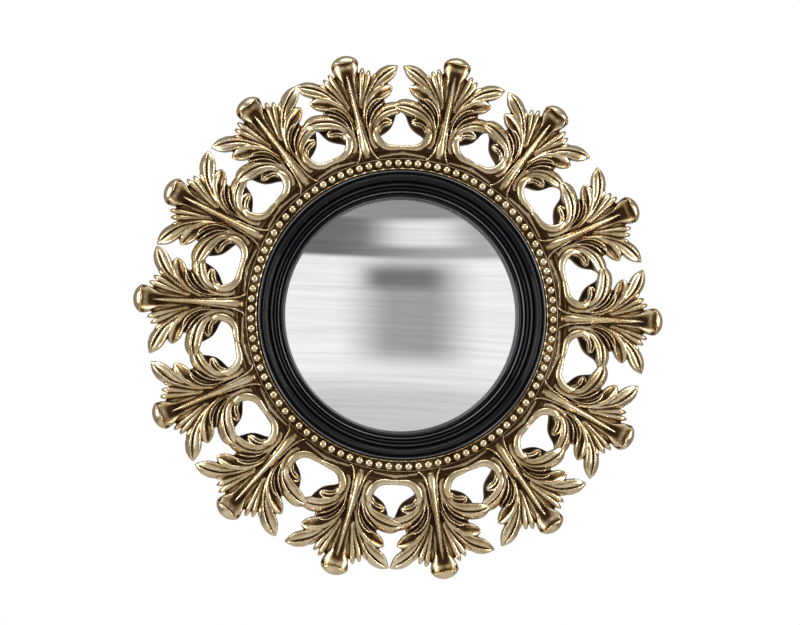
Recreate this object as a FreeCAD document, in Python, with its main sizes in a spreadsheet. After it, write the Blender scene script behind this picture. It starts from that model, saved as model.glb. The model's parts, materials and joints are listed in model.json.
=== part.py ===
import FreeCAD, Part
import math
import os
import re

import Sketcher
from FreeCAD import Placement, Rotation, Vector

# Convex butler's mirror: a ring of gilt acanthus leaves round a beaded moulding, an ebonised
# reeded slip and a domed mirror glass, hung on the wall from a loop at the top of its back.
#
# Frame of the part: X to the right, Z up, the front faces -Y, and the wall is the plane Y = 0.
# The mirror's axis is the Y axis. A "depth" is a distance from the wall towards the room.
# Turns are in degrees, clockwise as the front is seen, from 12 o'clock.

SIZES = (
    # mouldings in front, from the glass outward
    ("sight_radius", 100),  # visible edge of the glass
    ("inner_reed_width", 4.6),
    ("small_reed_width", 5),
    ("middle_reed_width", 4.4),
    ("torus_width", 7.2),
    ("fillet_width", 3.1),
    ("moulding_gap", 0.3),  # joint between mouldings that stand side by side
    ("bead_count", 96),
    ("bead_diameter", 6.6),
    ("bead_inner_margin", 2.7),
    ("bead_outer_margin", 1.3),
    ("rim_lap", 2),  # how far the leaves lap over the frame ring's front
    # depths of the mouldings
    ("ring_depth", 20),  # front face of the frame ring
    ("bead_seat_rise", 9.8),  # from there to the floor that the beads stand on
    ("bead_height", 4.4),
    ("bead_sink", 0.1),  # how far a bead is let into its seat
    ("inner_reed_depth", 22.5),
    ("small_reed_depth", 24.6),
    ("middle_reed_depth", 28.6),
    ("torus_depth", 33.6),
    ("fillet_depth", 32.2),
    ("reed_quirk", 2.4),  # grooves between the reeds
    # glass and what backs it
    ("glass_lap", 6.5),  # glass hidden behind the slip
    ("glass_thickness", 3),
    ("glass_rise", 16),  # how far the dome stands above its edge
    ("glass_clearance", 0.8),
    ("slip_clearance", 0.2),
    ("packing_width", 9),
    ("packing_height", 5),
    ("board_thickness", 3),
    ("board_ledge", 4.2),
    ("board_clearance", 0.5),
    # back of the frame ring
    ("back_recess", 4),  # the fittings lie in it, clear of the wall
    ("recess_width", 14),
    ("hanging_slot_width", 30),
    # leaves
    ("leaf_count", 14),
    ("rail_width", 10),
    ("rail_depth", 34.5),
    ("web_depth", 18.5),  # ground between the lobes
    ("leaf_length", 95.5),  # from the root to the tip of the curl
    ("leaf_width", 90),  # across its two largest lobes
    ("leaf_neck_depth", 31),
    ("leaf_lip_depth", 18.5),
    ("leaf_crest", 1.6),  # ridge of a lobe above the leaf's general surface
    ("leaf_edge", 3),  # edge of a lobe below its ridge
    ("leaf_back", 4),  # the back clears the wall by this much
    ("lip_thickness", 7),
    ("curl_rise", 13.5),
    ("curl_width", 24),
    # turn buttons that hold the backing board
    ("button_count", 4),
    ("button_length", 20),
    ("button_width", 8),
    ("button_thickness", 1.5),
    ("button_corner", 2),
    ("button_inset", 7),  # pivot, from the board's edge of the recess
    ("pivot_clearance", 0.08),
    # screws
    ("screw_shank_radius", 1.25),
    ("screw_hole_depth", 9),
    ("screw_point_gap", 0.4),  # left in the hole beyond the screw's point
    ("screw_head_radius", 2.4),
    ("screw_head_height", 1.1),
    ("screw_slack", 0.05),
    # hanging loop and its plate
    ("loop_wire_radius", 1),
    ("loop_half_width", 5.6),
    ("loop_leg", 4.4),
    ("knuckle_wall", 0.75),
    ("knuckle_length", 8),
    ("plate_width", 27),
    ("plate_height", 11),
    ("plate_thickness", 0.8),
    ("plate_hole_spacing", 20),
)

WORKED_OUT = (
    ("slip_width", "inner_reed_width + small_reed_width + middle_reed_width + torus_width + fillet_width"),
    ("slip_radius", "sight_radius + slip_width"),
    ("bead_band_inner", "slip_radius + moulding_gap"),
    ("bead_circle_radius", "bead_band_inner + bead_inner_margin + bead_diameter / 2"),
    ("bead_band_outer", "bead_circle_radius + bead_diameter / 2 + bead_outer_margin"),
    ("bead_seat_depth", "ring_depth + bead_seat_rise"),
    ("leaf_root_radius", "bead_band_outer + moulding_gap"),
    ("rim_radius", "leaf_root_radius + rim_lap"),
    ("glass_radius", "sight_radius + glass_lap"),
    ("throat_radius", "glass_radius + glass_clearance"),
    ("board_radius", "throat_radius + board_ledge"),
    ("rebate_radius", "board_radius + board_clearance"),
    ("recess_radius", "rebate_radius + recess_width"),
    ("board_front_depth", "back_recess + board_thickness"),
    ("glass_edge_depth", "board_front_depth + packing_height"),
    ("back_sphere_radius", "(glass_radius ^ 2 + glass_rise ^ 2) / (2 * glass_rise)"),
    ("front_sphere_radius", "back_sphere_radius + glass_thickness"),
    ("sphere_centre_depth", "glass_edge_depth + glass_rise - back_sphere_radius"),
    ("pivot_radius", "rebate_radius + button_inset"),
    ("button_face_depth", "back_recess - button_thickness"),
    ("loop_pivot_depth", "back_recess / 2"),
    ("knuckle_bore", "loop_wire_radius + pivot_clearance"),
    ("knuckle_radius", "knuckle_bore + knuckle_wall"),
    ("plate_foot", "rebate_radius + moulding_gap"),
    ("loop_pivot_height", "plate_foot + plate_height + knuckle_radius"),
)

# Each leaf is set by hand, so it stands a little off the even division of the ring.
LEAF_TURNS = (-2, -2.5, -1, -0.5, 1, 1, 1.5, 0.5, 1.5, 1, 1.5, 0.5, 0, -2)

doc = FreeCAD.newDocument("butlers_mirror")
sizes = doc.addObject("Spreadsheet::Sheet", "sizes")
places = doc.addObject("Spreadsheet::Sheet", "places")
HOME = {}


def fill(sheet, column, rows):
    """Write (alias, content) rows down a sheet and remember which sheet each alias is in."""
    for row, (alias, content) in enumerate(rows, start=1):
        cell = f"{column}{row}"
        sheet.set(cell, str(content))
        sheet.setAlias(cell, alias)
        HOME[alias] = sheet


def linked(formula, within=None):
    """The formula with each alias written as the name of its sheet and its own."""

    def full_name(match):
        alias = match.group()
        home = HOME.get(alias)
        return alias if home in (None, within) else f"{home.Name}.{alias}"

    return re.sub(r"[a-z][a-z_]+", full_name, str(formula))


fill(sizes, "A", SIZES)
for alias, formula in WORKED_OUT:
    HOME[alias] = places
fill(places, "A", ((alias, "=" + linked(formula, places)) for alias, formula in WORKED_OUT))
doc.recompute()


def size(alias):
    return float(HOME[alias].get(alias))


# ---------------------------------------------------------------- sketches and bodies


def new_body(label):
    body = doc.addObject("PartDesign::Body", label)
    body.Label = label
    return body


def origin_plane(body, role):
    return next(plane for plane in body.Origin.OriginFeatures if plane.Role == role)


def new_sketch(body, role, depth="0"):
    """A sketch on an origin plane of the body; on XZ_Plane it may be set forward by a depth."""
    sketch = body.newObject("Sketcher::SketchObject", f"{body.Label}_sketch")
    sketch.AttachmentSupport = (origin_plane(body, role), "")
    sketch.MapMode = "FlatFace"
    sketch.setExpression("AttachmentOffset.Base.z", linked(depth))
    return sketch


def place_point(sketch, geometry, end, across, up):
    """Hold a point of the sketch at two distances from the sketch's own axes."""
    for kind, formula in (("DistanceX", across), ("DistanceY", up)):
        index = sketch.addConstraint(Sketcher.Constraint(kind, -1, 1, geometry, end, 1.0))
        sketch.setExpression(f"Constraints[{index}]", linked(formula))


def draw_polygon(sketch, points):
    """A closed outline through points given as pairs of formulas."""
    first = sketch.GeometryCount
    rough = [Vector(math.cos(k / len(points) * math.tau), math.sin(k / len(points) * math.tau), 0)
             for k in range(len(points))]
    for k, start in enumerate(rough):
        sketch.addGeometry(Part.LineSegment(start, rough[(k + 1) % len(rough)]))
    for k in range(len(points)):
        following = first + (k + 1) % len(points)
        sketch.addConstraint(Sketcher.Constraint("Coincident", first + k, 2, following, 1))
    for k, (across, up) in enumerate(points):
        place_point(sketch, first + k, 1, across, up)


def draw_circle(sketch, across, up, radius):
    index = sketch.addGeometry(Part.Circle(Vector(1, 1, 0), Vector(0, 0, 1), 1))
    place_point(sketch, index, 3, across, up)
    held = sketch.addConstraint(Sketcher.Constraint("Radius", index, 1.0))
    sketch.setExpression(f"Constraints[{held}]", linked(radius))


def turned_ring(label, profile):
    """A body turned about the mirror's axis from (radius, depth) corners."""
    body = new_body(label)
    sketch = new_sketch(body, "XY_Plane")
    draw_polygon(sketch, [(radius, f"-({depth})") for radius, depth in profile])
    turning = body.newObject("PartDesign::Revolution", f"{label}_turning")
    turning.Profile = sketch
    turning.ReferenceAxis = (sketch, ["V_Axis"])
    turning.Angle = 360
    doc.recompute()
    return body


def add_pad(body, sketch, length, both_ways=False):
    pad = body.newObject("PartDesign::Pad", f"{body.Label}_pad")
    pad.Profile = sketch
    pad.Midplane = both_ways
    pad.setExpression("Length", linked(length))
    doc.recompute()
    return pad


def cut_pocket(body, sketch, depth):
    """A pocket from the sketch towards the room; it must take material away."""
    before = body.Shape.Volume
    pocket = body.newObject("PartDesign::Pocket", f"{body.Label}_pocket")
    pocket.Profile = sketch
    pocket.Reversed = True
    pocket.setExpression("Length", linked(depth))
    doc.recompute()
    if body.Shape.Volume >= before:
        raise ValueError(f"a pocket of {body.Label} cuts nothing")
    return pocket


def skin(rings, closed=False):
    """A solid of flat facets through rings of equally many points, capped unless it closes on itself."""
    ends = () if closed else (rings[0], rings[-1])
    faces = [Part.Face(Part.makePolygon(end + end[:1])) for end in ends]
    for ring, following in zip(rings, rings[1:] + (rings[:1] if closed else [])):
        for k in range(len(ring)):
            after = (k + 1) % len(ring)
            corners = (ring[k], ring[after], following[after], following[k])
            for triangle in ((corners[0], corners[1], corners[2]), (corners[0], corners[2], corners[3])):
                faces.append(Part.Face(Part.makePolygon([*triangle, triangle[0]])))
    solid = Part.Solid(Part.makeShell(faces))
    if solid.Volume < 0:
        solid.reverse()
    return solid


def clock_placement(turn):
    return Placement(Vector(0, 0, 0), Rotation(Vector(0, 1, 0), turn))


# ---------------------------------------------------------------- frame ring, slip and beads


def make_frame_ring():
    """The turned wooden ring that everything is fixed to, with its rebate and rear recess."""
    ring = turned_ring("frame_ring", (
        ("throat_radius", "board_front_depth"),
        ("rebate_radius", "board_front_depth"),
        ("rebate_radius", "back_recess"),
        ("recess_radius", "back_recess"),
        ("recess_radius", "0"),
        ("rim_radius", "0"),
        ("rim_radius", "ring_depth"),
        ("throat_radius", "ring_depth"),
    ))
    slot = new_sketch(ring, "XZ_Plane")
    side = "hanging_slot_width / 2"
    foot = "recess_radius - recess_width / 2"
    top = "rim_radius + rim_lap"
    draw_polygon(slot, ((f"-{side}", foot), (side, foot), (side, top), (f"-{side}", top)))
    cut_pocket(ring, slot, "back_recess")

    holes = new_sketch(ring, "XZ_Plane")
    bore = "screw_shank_radius + screw_slack"
    for sign in ("-", ""):
        draw_circle(holes, f"{sign}plate_hole_spacing / 2", "plate_foot + plate_height / 2", bore)
    cut_pocket(ring, holes, "back_recess + screw_hole_depth")

    pivots = new_sketch(ring, "XZ_Plane")
    for turn in button_turns():
        across = f"pivot_radius * {math.sin(math.radians(turn)):.9f}"
        up = f"pivot_radius * {math.cos(math.radians(turn)):.9f}"
        draw_circle(pivots, across, up, bore)
    cut_pocket(ring, pivots, "back_recess + screw_hole_depth")
    return ring


def make_slip():
    """The ebonised slip: a broad torus and three smaller reeds that step down to the glass."""
    first = "sight_radius + inner_reed_width"
    second = f"{first} + small_reed_width"
    third = f"{second} + middle_reed_width"
    fourth = f"{third} + torus_width"

    def above_glass(radius):
        return f"sphere_centre_depth + slip_clearance + sqrt(front_sphere_radius ^ 2 - ({radius}) ^ 2)"

    return turned_ring("reeded_slip", (
        ("sight_radius", above_glass("sight_radius")),
        ("sight_radius", "inner_reed_depth - reed_quirk"),
        ("sight_radius + inner_reed_width / 2", "inner_reed_depth"),
        (first, "inner_reed_depth - reed_quirk / 2"),
        (f"{first} + small_reed_width / 2", "small_reed_depth"),
        (second, "small_reed_depth - reed_quirk / 4"),
        (f"{second} + middle_reed_width / 2", "middle_reed_depth"),
        (third, "middle_reed_depth - reed_quirk"),
        (f"{third} + torus_width / 4", "torus_depth - reed_quirk / 2"),
        (f"{third} + torus_width * 3 / 5", "torus_depth"),
        (fourth, "torus_depth - reed_quirk"),
        (f"{fourth} + fillet_width / 3", "fillet_depth"),
        ("slip_radius", "fillet_depth"),
        ("slip_radius", "ring_depth"),
        ("throat_radius - moulding_gap", "ring_depth"),
        ("throat_radius - moulding_gap", above_glass("glass_radius")),
    ))


BEAD_CROWN = 0.6  # flat on top of a bead, as a share of the bead


def make_bead_course():
    """The band between slip and leaves, with its row of beads carved in one with it."""
    band = turned_ring("bead_band", (
        ("bead_band_inner", "ring_depth"),
        ("bead_band_outer", "ring_depth"),
        ("bead_band_outer", "bead_seat_depth"),
        ("bead_band_inner", "bead_seat_depth"),
    ))
    sides = 6
    radius, height = size("bead_diameter") / 2, size("bead_height")
    sections = ((-size("bead_sink"), radius), (height, radius * BEAD_CROWN))
    rings = []
    for rise, girth in sections:
        turns = [math.tau * k / sides for k in range(sides)]
        rings.append([Vector(girth * math.sin(turn), -(size("bead_seat_depth") + rise),
                             size("bead_circle_radius") + girth * math.cos(turn)) for turn in turns])
    bead = skin(rings)
    count = int(size("bead_count"))
    beads = [bead.transformed(clock_placement(360 * k / count).toMatrix()) for k in range(count)]
    course = doc.addObject("Part::Feature", "bead_course")
    course.Label = "bead_course"
    course.Shape = band.Shape.multiFuse(beads)
    return course


# ---------------------------------------------------------------- glass and its backing


def primitive(kind, name, placement, **formulas):
    solid = doc.addObject(f"Part::{kind}", name)
    solid.Placement = placement
    for prop, formula in formulas.items():
        solid.setExpression(prop, linked(formula))
    return solid


TOWARDS_ROOM = Rotation(Vector(1, 0, 0), 90)  # turns a primitive's own Z to -Y


def make_glass():
    """A bent mirror glass: the part between two spheres with one centre."""
    spheres = []
    for name, radius in (("glass_front_sphere", "front_sphere_radius"),
                         ("glass_back_sphere", "back_sphere_radius")):
        sphere = primitive("Sphere", name, Placement(), Radius=radius)
        sphere.setExpression("Placement.Base.y", linked("-sphere_centre_depth"))
        spheres.append(sphere)
    disc = primitive("Cylinder", "glass_disc", Placement(Vector(), TOWARDS_ROOM),
                     Radius="glass_radius", Height="glass_edge_depth + 2 * glass_rise")
    dome = doc.addObject("Part::Common", "glass_dome")
    dome.Base = disc
    dome.Tool = spheres[0]
    glass = doc.addObject("Part::Cut", "convex_glass")
    glass.Base = dome
    glass.Tool = spheres[1]
    glass.Label = "convex_glass"
    doc.recompute()
    return glass


def make_packing():
    """A soft ring between the backing board and the glass's rear edge."""
    inner = "glass_radius - packing_width"

    def behind_glass(radius):
        return f"sphere_centre_depth - slip_clearance + sqrt(back_sphere_radius ^ 2 - ({radius}) ^ 2)"

    return turned_ring("packing_ring", (
        (inner, "board_front_depth"),
        ("glass_radius", "board_front_depth"),
        ("glass_radius", behind_glass("glass_radius")),
        (inner, behind_glass(inner)),
    ))


def make_board():
    board = new_body("backing_board")
    sketch = new_sketch(board, "XZ_Plane", "back_recess")
    draw_circle(sketch, "0", "0", "board_radius")
    add_pad(board, sketch, "board_thickness")
    return board


# ---------------------------------------------------------------- acanthus leaf

# The leaf's pattern is drawn to its right of the stem, in (across, out) millimetres, where out
# starts at the root. Each lobe is a line from the stem to its tip with half widths along it.
PATTERN_LENGTH = 95.5
PATTERN_WIDTH = 90
LOBES = (
    ("inner_finger", ((5, 52), (15.4, 82)), (2.6, 0.9)),
    ("outer_finger", ((7, 50), (22.4, 78)), (3.4, 1.1)),
    ("great_lobe", ((5, 46), (17, 59.5), (33.5, 71.4), (45, 75.4)), (2.8, 4.8, 7.4, 1.2)),
    ("second_lobe", ((6, 41), (22, 55.4), (36.4, 58.6)), (3.4, 6.2, 1.6)),
    ("small_lobe", ((8, 36), (17, 44.6), (26.6, 47.5)), (3, 4, 1)),
    ("tongue", ((12, 20), (21, 28.8), (32.4, 28.1)), (3, 4.9, 0.8)),
)
SCROLL = ((26, 5), (14.8, 12), (11.6, 20), (14, 30), (25, 38.6), (45, 39.8))
SCROLL_HALF_WIDTHS = (3, 3.6, 3.8, 4.2, 6.6, 6)
STEM = ((0, 1), (0, 13), (0, 45), (0, 66), (0, 84))
STEM_HALF_WIDTHS = (8.5, 5, 4.4, 7.2, 11.6)
WEB = ((14, 3), (9, 15), (13, 27), (18, 40), (18, 54), (9, 72))  # flat ground between the lobes
# The curl at the tip, in section: (out from its root, rise above its root), as shares of its size.
CURL_SECTION = ((0, -0.4), (0.8, -0.15), (1, 0.4), (0.75, 0.9), (0.35, 0.95), (0.6, 0.4), (0, 0.1))
CURL_STATIONS = ((-0.97, 0.3), (-0.6, 0.86), (0, 1), (0.6, 0.86), (0.97, 0.3))
# Places along the pattern: where its surface begins to fall, where the back turns up to the lip,
# where the curl begins, and how far the cutting forms reach past the tip and inside the root.
RAIL_SHARE = 0.6  # of the pitch, to each side of the stem, before the neighbours trim it
NECK_OUT = 14.5
BEND_OUT = 38
CURL_OUT = 82
BEYOND_TIP = 105
INSIDE_ROOT = -13


def on_leaf(point):
    """A pattern point as (across, radius from the mirror's axis) at the leaf's real size."""
    across, out = point
    return (across * size("leaf_width") / PATTERN_WIDTH,
            size("leaf_root_radius") + out * size("leaf_length") / PATTERN_LENGTH)


def surface_depth(out):
    """The leaf's general surface falls from its neck, by the rail, to its lip."""
    share = (out - NECK_OUT) / (CURL_OUT - NECK_OUT)
    return size("leaf_neck_depth") + share * (size("leaf_lip_depth") - size("leaf_neck_depth"))


def blade(line, half_widths, rise, edge):
    """A strip along a line of pattern points with a ridge in the middle, down to the wall."""
    points = [on_leaf(point) for point in line]
    rings = []
    for k, (across, radius) in enumerate(points):
        before = points[max(k - 1, 0)]
        after = points[min(k + 1, len(points) - 1)]
        length = math.dist(before, after)
        side = ((after[1] - before[1]) / length, (before[0] - after[0]) / length)
        crest = min(surface_depth(line[k][1]) + rise, size("rail_depth"))
        half = half_widths[k]

        def corner(offset, depth):
            return Vector(across + offset * side[0], -depth, radius + offset * side[1])

        rings.append([corner(-half, 0), corner(-half, crest - edge), corner(0, crest),
                      corner(half, crest - edge), corner(half, 0)])
    return skin(rings)


def mirrored(line):
    return tuple((-across, out) for across, out in line)


def make_rail():
    """The leaf's share of the rail that runs round outside the beads."""
    reach = 360 / size("leaf_count") * RAIL_SHARE
    inner = size("leaf_root_radius") - size("moulding_gap")
    outer = size("leaf_root_radius") + size("rail_width")
    top = size("rail_depth")
    shoulder = top - size("leaf_edge")
    rings = []
    for share in (-1, -0.5, 0, 0.5, 1):
        turn = math.radians(reach * share)
        section = ((inner, 0), (inner, shoulder), ((inner + outer) / 2, top), (outer, shoulder), (outer, 0))
        rings.append([Vector(r * math.sin(turn), -depth, r * math.cos(turn)) for r, depth in section])
    return skin(rings)


def make_web():
    """The flat ground that joins the lobes, well behind their faces."""
    around = [on_leaf(point) for point in WEB + tuple(reversed(mirrored(WEB)))]
    corners = [Vector(across, 0, radius) for across, radius in around]
    return Part.Face(Part.makePolygon([*corners, corners[0]])).extrude(Vector(0, -size("web_depth"), 0))


def make_curl():
    """The leaf's tip, rolled forward into a hood."""
    _, root = on_leaf((0, CURL_OUT))
    _, tip = on_leaf((0, PATTERN_LENGTH))
    reach = tip - root
    floor = size("leaf_lip_depth")
    rings = []
    for place, fullness in CURL_STATIONS:
        across = place * size("curl_width") / 2
        rings.append([Vector(across, -(floor + rise * fullness * size("curl_rise")), root + out * fullness * reach)
                      for out, rise in CURL_SECTION])
    return skin(rings)


def flat_ring(radius, near, far):
    """A many-sided block whose flats touch the radius, to cut the leaves' roots with."""
    flats = int(size("leaf_count")) * 4
    corner = radius / math.cos(math.pi / flats)
    points = [Vector(corner * math.sin(math.tau * k / flats), -near, corner * math.cos(math.tau * k / flats))
              for k in range(flats + 1)]
    return Part.Face(Part.makePolygon(points)).extrude(Vector(0, near - far, 0))


def leaf_side_profile():
    """What the leaf keeps, seen from its side: a flat back that rises to a thin lip."""
    root, bend, lip, tip = (on_leaf((0, out))[1] for out in (INSIDE_ROOT, BEND_OUT, CURL_OUT, BEYOND_TIP))
    lip_back = size("leaf_lip_depth") - size("lip_thickness")
    front = size("rail_depth") + size("curl_rise")
    corners = ((root, size("leaf_back")), (bend, size("leaf_back")), (lip, lip_back),
               (tip, lip_back), (tip, front), (root, front), (root, size("leaf_back")))
    half = size("leaf_width")
    face = Part.Face(Part.makePolygon([Vector(-half, -depth, radius) for radius, depth in corners]))
    return face.extrude(Vector(2 * half, 0, 0))


def make_leaf_casting():
    """The whole leaf before its neighbours trim it."""
    rise = size("leaf_crest")
    edge = size("leaf_edge")
    solids = [make_curl(), make_rail(),
              blade(STEM, STEM_HALF_WIDTHS, rise, edge), make_web()]
    for turned in (tuple, mirrored):
        solids.append(blade(turned(SCROLL), SCROLL_HALF_WIDTHS, rise, edge))
        for _, line, half_widths in LOBES:
            solids.append(blade(turned(line), half_widths, rise, edge))
    leaf = solids[0].multiFuse(solids[1:])
    leaf = leaf.common(leaf_side_profile())
    leaf = leaf.cut(flat_ring(size("leaf_root_radius"), -1, size("rail_depth") + 1))
    leaf = leaf.cut(flat_ring(size("rim_radius") + size("moulding_gap"), -1, size("ring_depth")))
    return leaf.removeSplitter()


def sector(left, right):
    """The wedge of space between two turns about the mirror's axis."""
    reach = 2 * (size("leaf_root_radius") + size("leaf_length"))
    front = size("rail_depth") + size("curl_rise")
    corners = [Vector(0, 0, 0)]
    for turn in (left, right):
        corners.append(Vector(reach * math.sin(math.radians(turn)), 0, reach * math.cos(math.radians(turn))))
    face = Part.Face(Part.makePolygon([*corners, corners[0]]))
    return face.extrude(Vector(0, -front, 0))


def make_leaves():
    """Leaves cast from one pattern, each trimmed where it meets its neighbours."""
    casting = make_leaf_casting()
    count = int(size("leaf_count"))
    pitch = 360 / count
    joint = math.degrees(size("moulding_gap") / 2 / size("leaf_root_radius"))
    leaves = []
    for k in range(count):
        turn, before, after = (LEAF_TURNS[(k + step) % len(LEAF_TURNS)] for step in (0, -1, 1))
        left = -(pitch + turn - before) / 2 + joint
        right = (pitch + after - turn) / 2 - joint
        leaf = doc.addObject("Part::Feature", f"leaf_{k + 1:02d}")
        leaf.Label = leaf.Name
        leaf.Shape = casting.common(sector(left, right))
        leaf.Placement = clock_placement(pitch * (k + 0.5) + turn)
        leaves.append(leaf)
    return leaves


# ---------------------------------------------------------------- fittings on the back


def button_turns():
    """Turns of the turn buttons, halfway between 12, 3, 6 and 9 o'clock when there are four."""
    count = int(size("button_count"))
    return [360 / count * (k + 0.5) for k in range(count)]


def make_turn_button(label, turn):
    """A brass bar that swings over the backing board about a screw in the frame ring."""
    button = new_body(label)
    sketch = new_sketch(button, "XZ_Plane", "button_face_depth")
    side = "button_width / 2"
    top = "pivot_radius + button_width / 2"
    foot = f"{top} - button_length"
    shy = f"({side} - button_corner)"
    draw_polygon(sketch, (
        (f"-{shy}", foot), (shy, foot), (side, f"{foot} + button_corner"), (side, f"{top} - button_corner"),
        (shy, top), (f"-{shy}", top), (f"-({side})", f"{top} - button_corner"),
        (f"-({side})", f"{foot} + button_corner"),
    ))
    add_pad(button, sketch, "button_thickness")
    hole = new_sketch(button, "XZ_Plane")
    draw_circle(hole, "0", "pivot_radius", "screw_shank_radius + pivot_clearance")
    cut_pocket(button, hole, "back_recess")
    button.Placement = clock_placement(turn)
    return button


SCREW_CROWN = 0.7  # flat on top of a screw's head, as a share of the head


def make_screw(face_depth):
    """A round-headed screw driven towards the room, its head resting on a face at that depth."""
    head, shank = size("screw_head_radius"), size("screw_shank_radius")
    top = face_depth - size("screw_head_height")
    tip = size("back_recess") + size("screw_hole_depth") - size("screw_point_gap")
    sides = 8
    rings = []
    for radius, depth in ((head * SCREW_CROWN, top), (head, face_depth - size("screw_head_height") / 2),
                          (head, face_depth), (shank, face_depth), (shank, tip)):
        turns = [math.tau * k / sides for k in range(sides)]
        rings.append([Vector(radius * math.sin(turn), -depth, radius * math.cos(turn)) for turn in turns])
    return skin(rings)


def make_screws():
    """The screws of the turn buttons and of the hanging plate, which are all alike."""
    screws = doc.addObject("Part::Feature", "back_screws")
    screws.Label = "back_screws"
    spots = [(size("button_face_depth"), size("pivot_radius") * math.sin(math.radians(turn)),
              size("pivot_radius") * math.cos(math.radians(turn))) for turn in button_turns()]
    plate_face = size("back_recess") - size("plate_thickness")
    for side in (-1, 1):
        spots.append((plate_face, side * size("plate_hole_spacing") / 2,
                      size("plate_foot") + size("plate_height") / 2))
    copies = []
    for face_depth, across, up in spots:
        screw = make_screw(face_depth)
        screw.translate(Vector(across, 0, up))
        copies.append(screw)
    screws.Shape = Part.makeCompound(copies)
    return screws


def make_hanger_plate():
    """A plate screwed above the rebate, its top edge rolled round the loop's wire."""
    plate = new_body("hanger_plate")
    outline = new_sketch(plate, "XZ_Plane", "back_recess - plate_thickness")
    side = "plate_width / 2"
    top = "plate_foot + plate_height"
    draw_polygon(outline, ((f"-{side}", "plate_foot"), (side, "plate_foot"), (side, top), (f"-{side}", top)))
    for sign in ("-", ""):
        draw_circle(outline, f"{sign}plate_hole_spacing / 2", "plate_foot + plate_height / 2",
                    "screw_shank_radius + pivot_clearance")
    add_pad(plate, outline, "plate_thickness")

    tongue = new_sketch(plate, "YZ_Plane")
    back = "-back_recess"
    face = "-(back_recess - plate_thickness)"
    draw_polygon(tongue, ((back, f"{top} - plate_thickness"), (face, f"{top} - plate_thickness"),
                          (face, "loop_pivot_height"), (back, "loop_pivot_height")))
    add_pad(plate, tongue, "knuckle_length", both_ways=True)

    knuckle = new_sketch(plate, "YZ_Plane")
    draw_circle(knuckle, "-loop_pivot_depth", "loop_pivot_height", "knuckle_radius")
    add_pad(plate, knuckle, "knuckle_length", both_ways=True)

    bore = new_sketch(plate, "YZ_Plane")
    draw_circle(bore, "-loop_pivot_depth", "loop_pivot_height", "knuckle_bore")
    before = plate.Shape.Volume
    boring = plate.newObject("PartDesign::Pocket", "knuckle_boring")
    boring.Profile = bore
    boring.Midplane = True
    boring.setExpression("Length", linked("knuckle_length * 2"))
    doc.recompute()
    if plate.Shape.Volume >= before:
        raise ValueError("the knuckle's bore cuts nothing")
    return plate


def make_loop():
    """The wire loop that goes over the wall hook, hanging down from its straight side."""
    loop = doc.addObject("Part::Feature", "hanging_loop")
    loop.Label = "hanging_loop"
    wire, half, leg = size("loop_wire_radius"), size("loop_half_width"), size("loop_leg")
    bends = 4
    path = [(half, 0), (half, -leg)]
    for k in range(1, bends):
        turn = math.pi * k / bends
        path.append((half * math.cos(turn), -leg - half * math.sin(turn)))
    path += [(-half, -leg), (-half, 0)]
    sides = 10
    rings = []
    for k, here in enumerate(path):
        arriving = math.atan2(here[1] - path[k - 1][1], here[0] - path[k - 1][0])
        leaving = math.atan2(path[(k + 1) % len(path)][1] - here[1], path[(k + 1) % len(path)][0] - here[0])
        half_turn = math.remainder(leaving - arriving, math.tau) / 2
        mitre = arriving + half_turn + math.pi / 2
        stretch = 1 / math.cos(half_turn)
        ring = []
        for step in range(sides):
            turn = math.tau * step / sides
            out = wire * math.cos(turn) * stretch
            ring.append(Vector(here[0] + out * math.cos(mitre),
                               -size("loop_pivot_depth") + wire * math.sin(turn),
                               size("loop_pivot_height") + here[1] + out * math.sin(mitre)))
        rings.append(ring)
    loop.Shape = skin(rings, closed=True)
    return loop


# ---------------------------------------------------------------- assembly

nodes = [make_frame_ring(), make_slip(), make_bead_course(), make_glass(), make_packing(), make_board()]
nodes += make_leaves()
for number, turn in enumerate(button_turns(), start=1):
    nodes.append(make_turn_button(f"turn_button_{number}", turn))
nodes.append(make_hanger_plate())
nodes.append(make_loop())
nodes.append(make_screws())
doc.recompute()

failed = [thing.Label for thing in doc.Objects if {"Invalid", "Error"} & set(thing.State)]
if failed:
    raise ValueError(f"these objects failed: {failed}")
for node in nodes:
    if node.Shape.isNull() or not node.Shape.isValid():
        raise ValueError(f"{node.Label} has no valid shape")

os.makedirs("parts", exist_ok=True)
for node in nodes:
    node.Shape.exportStep(f"parts/{node.Label}.step")
    print(f"{node.Label}: {len(node.Shape.Solids)} solid(s), {node.Shape.Volume:.0f} mm3")
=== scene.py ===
import json
import math

import bmesh
import bpy
import numpy as np
from mathutils import Matrix, Vector


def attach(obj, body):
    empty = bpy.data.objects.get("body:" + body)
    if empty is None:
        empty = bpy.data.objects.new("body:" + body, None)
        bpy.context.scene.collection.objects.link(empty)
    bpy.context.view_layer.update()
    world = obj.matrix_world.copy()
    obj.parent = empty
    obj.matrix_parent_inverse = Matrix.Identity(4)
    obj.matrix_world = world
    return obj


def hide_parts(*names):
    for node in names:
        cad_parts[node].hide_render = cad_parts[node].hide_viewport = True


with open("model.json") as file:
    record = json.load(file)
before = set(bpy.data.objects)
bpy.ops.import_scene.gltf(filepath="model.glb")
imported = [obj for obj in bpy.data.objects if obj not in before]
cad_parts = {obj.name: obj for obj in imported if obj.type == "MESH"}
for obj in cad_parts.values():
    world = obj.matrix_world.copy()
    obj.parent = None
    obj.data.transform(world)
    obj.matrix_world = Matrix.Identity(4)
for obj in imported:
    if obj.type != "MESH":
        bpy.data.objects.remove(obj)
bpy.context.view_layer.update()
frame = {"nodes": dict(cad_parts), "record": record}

# The object is built in millimetres round the mirror's axis: x across, z up, and depth is the
# distance from the wall towards the room, which is -y. MM turns it into the frame's metres.
MM = 0.001
LEAF_PITCH = 360 / 14
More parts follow.
